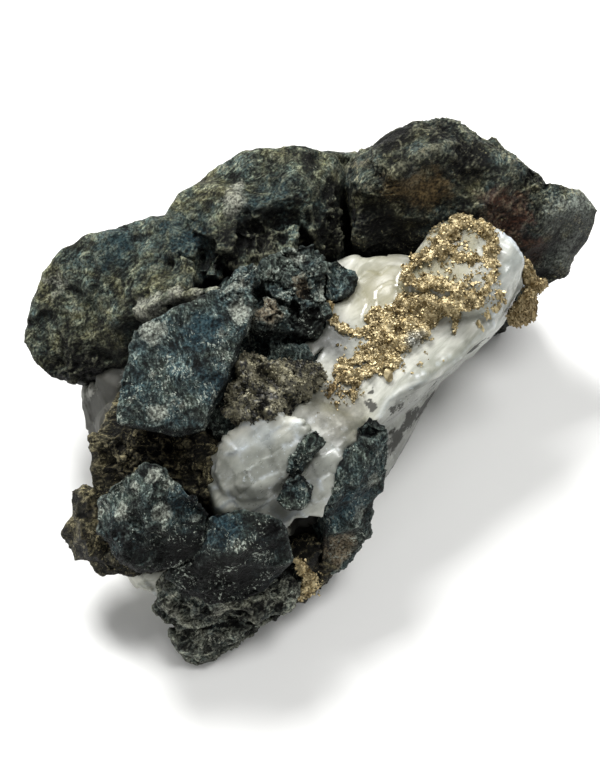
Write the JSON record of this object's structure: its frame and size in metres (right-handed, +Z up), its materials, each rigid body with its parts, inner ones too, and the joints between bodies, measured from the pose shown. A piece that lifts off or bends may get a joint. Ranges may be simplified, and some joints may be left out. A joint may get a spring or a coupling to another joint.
{
  "type": "mineral specimen",
  "caption": "Mineral specimen: a crust of native silver crystals on white calcite that cements dark rock blocks, trimmed flat underneath to stand.",
  "frame": {"origin": "under the middle of the specimen, on the plane of the flat cut that it rests on", "axes": "+X towards the silver end along the longest side, +Z up, and the silver face looks up and towards -Y"},
  "size_m": [0.097, 0.082, 0.048],
  "materials": {
    "dark_rock": "rough",
    "brown_rock": "rough",
    "calcite": "glossy",
    "tarnished_silver": "granular",
    "silver": "bright"
  },
  "bodies": {
    "root": {"shoulder_block": "dark_rock", "crag_block": "dark_rock", "slab_block": "dark_rock", "knob_block": "dark_rock", "brow_block": "dark_rock", "side_block": "dark_rock", "foot_block": "dark_rock", "middle_knots": "dark_rock", "wedge_block": "dark_rock", "upper_chip": "dark_rock", "lower_chip": "dark_rock", "ledge_block": "brown_rock", "hollow_block": "brown_rock", "calcite": "calcite", "grey_moss": "tarnished_silver", "silver_crust": "silver", "silver_nub": "silver", "silver_toe": "silver"}
  },
  "joints": []
}
